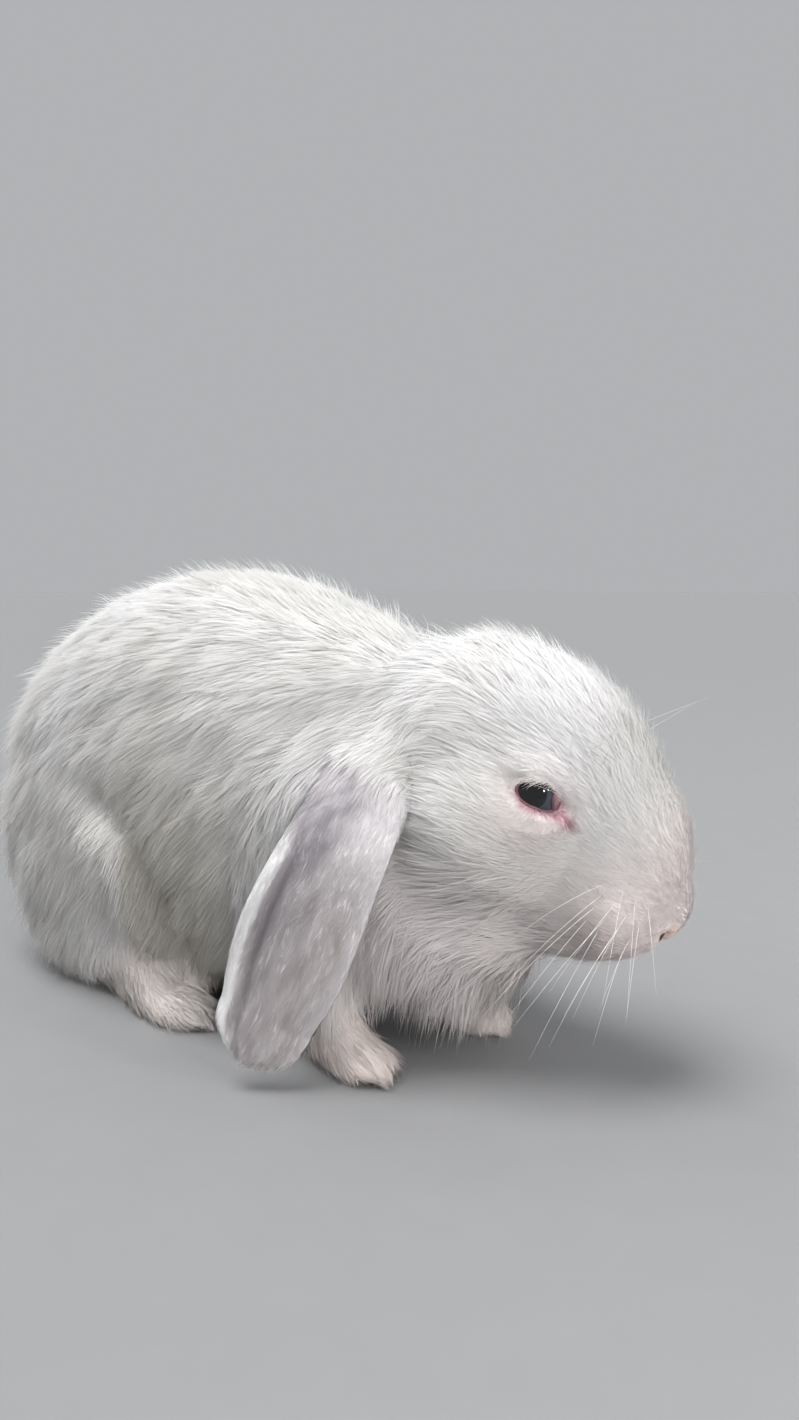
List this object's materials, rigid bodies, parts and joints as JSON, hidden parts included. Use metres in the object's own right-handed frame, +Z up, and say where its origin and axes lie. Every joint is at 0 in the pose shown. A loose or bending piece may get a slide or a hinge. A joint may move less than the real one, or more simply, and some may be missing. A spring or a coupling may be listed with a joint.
{
  "type": "lop rabbit",
  "caption": "Life-size lop-eared rabbit crouched on its four feet, head low and turned to its left, ears hanging.",
  "frame": {"origin": "on the floor, under the middle of the rabbit's bounding box", "axes": "+X towards the rabbit's chest and head, +Y to the rabbit's left, +Z up"},
  "size_m": [0.321, 0.1358, 0.1619],
  "materials": {
    "white_coat": "soft dense white fur",
    "ear_coat": "short fur, bluish grey over white",
    "paw_coat": "short cream fur",
    "eye": "wet, dark blue-grey iris and black pupil"
  },
  "bodies": {
    "root": {"head": "white_coat", "neck": "white_coat", "trunk": "white_coat", "tail": "white_coat", "fore_leg_right": "white_coat", "fore_leg_left": "white_coat", "fore_paw_right": "paw_coat", "fore_paw_left": "paw_coat", "hind_leg_right": "white_coat", "hind_leg_left": "white_coat", "hind_foot_right": "paw_coat", "hind_foot_left": "paw_coat", "ear_right": "ear_coat", "ear_left": "ear_coat", "eye_right": "eye", "eye_left": "eye"}
  },
  "joints": []
}
